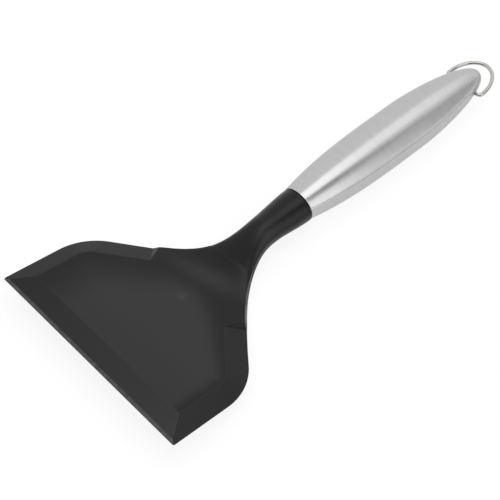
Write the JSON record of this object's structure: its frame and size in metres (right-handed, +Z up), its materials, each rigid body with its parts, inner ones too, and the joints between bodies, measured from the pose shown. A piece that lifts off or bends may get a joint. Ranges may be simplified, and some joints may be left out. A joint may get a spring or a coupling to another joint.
{
  "type": "wide spatula",
  "caption": "Wide kitchen turner with a bevelled nylon blade and offset neck, set in a hollow steel handle with a swinging wire hanging loop.",
  "frame": {"origin": "on the table, under the middle of the whole turner as it lies at rest on its heel and on the belly of its handle", "axes": "+Y along the turner from the handle to the blade's front edge, +X across the blade, +Z up from the table"},
  "size_m": [0.136, 0.3122, 0.0277],
  "materials": {
    "nylon": "fine matte moulded surface",
    "steel_shell": "satin, finely brushed",
    "steel_wire": "polished"
  },
  "bodies": {
    "turner": {"nylon_head": "nylon", "handle_upper_shell": "steel_shell", "handle_lower_shell": "steel_shell"},
    "loop": {"hanging_loop": "steel_wire"}
  },
  "joints": [
    {"name": "loop_swing", "type": "hinge", "parent": "turner", "child": "loop", "pos_m": [0, -0.13372, 0.01257], "axis": [-1, 0, 0], "range_deg": [-150, 130]}
  ]
}
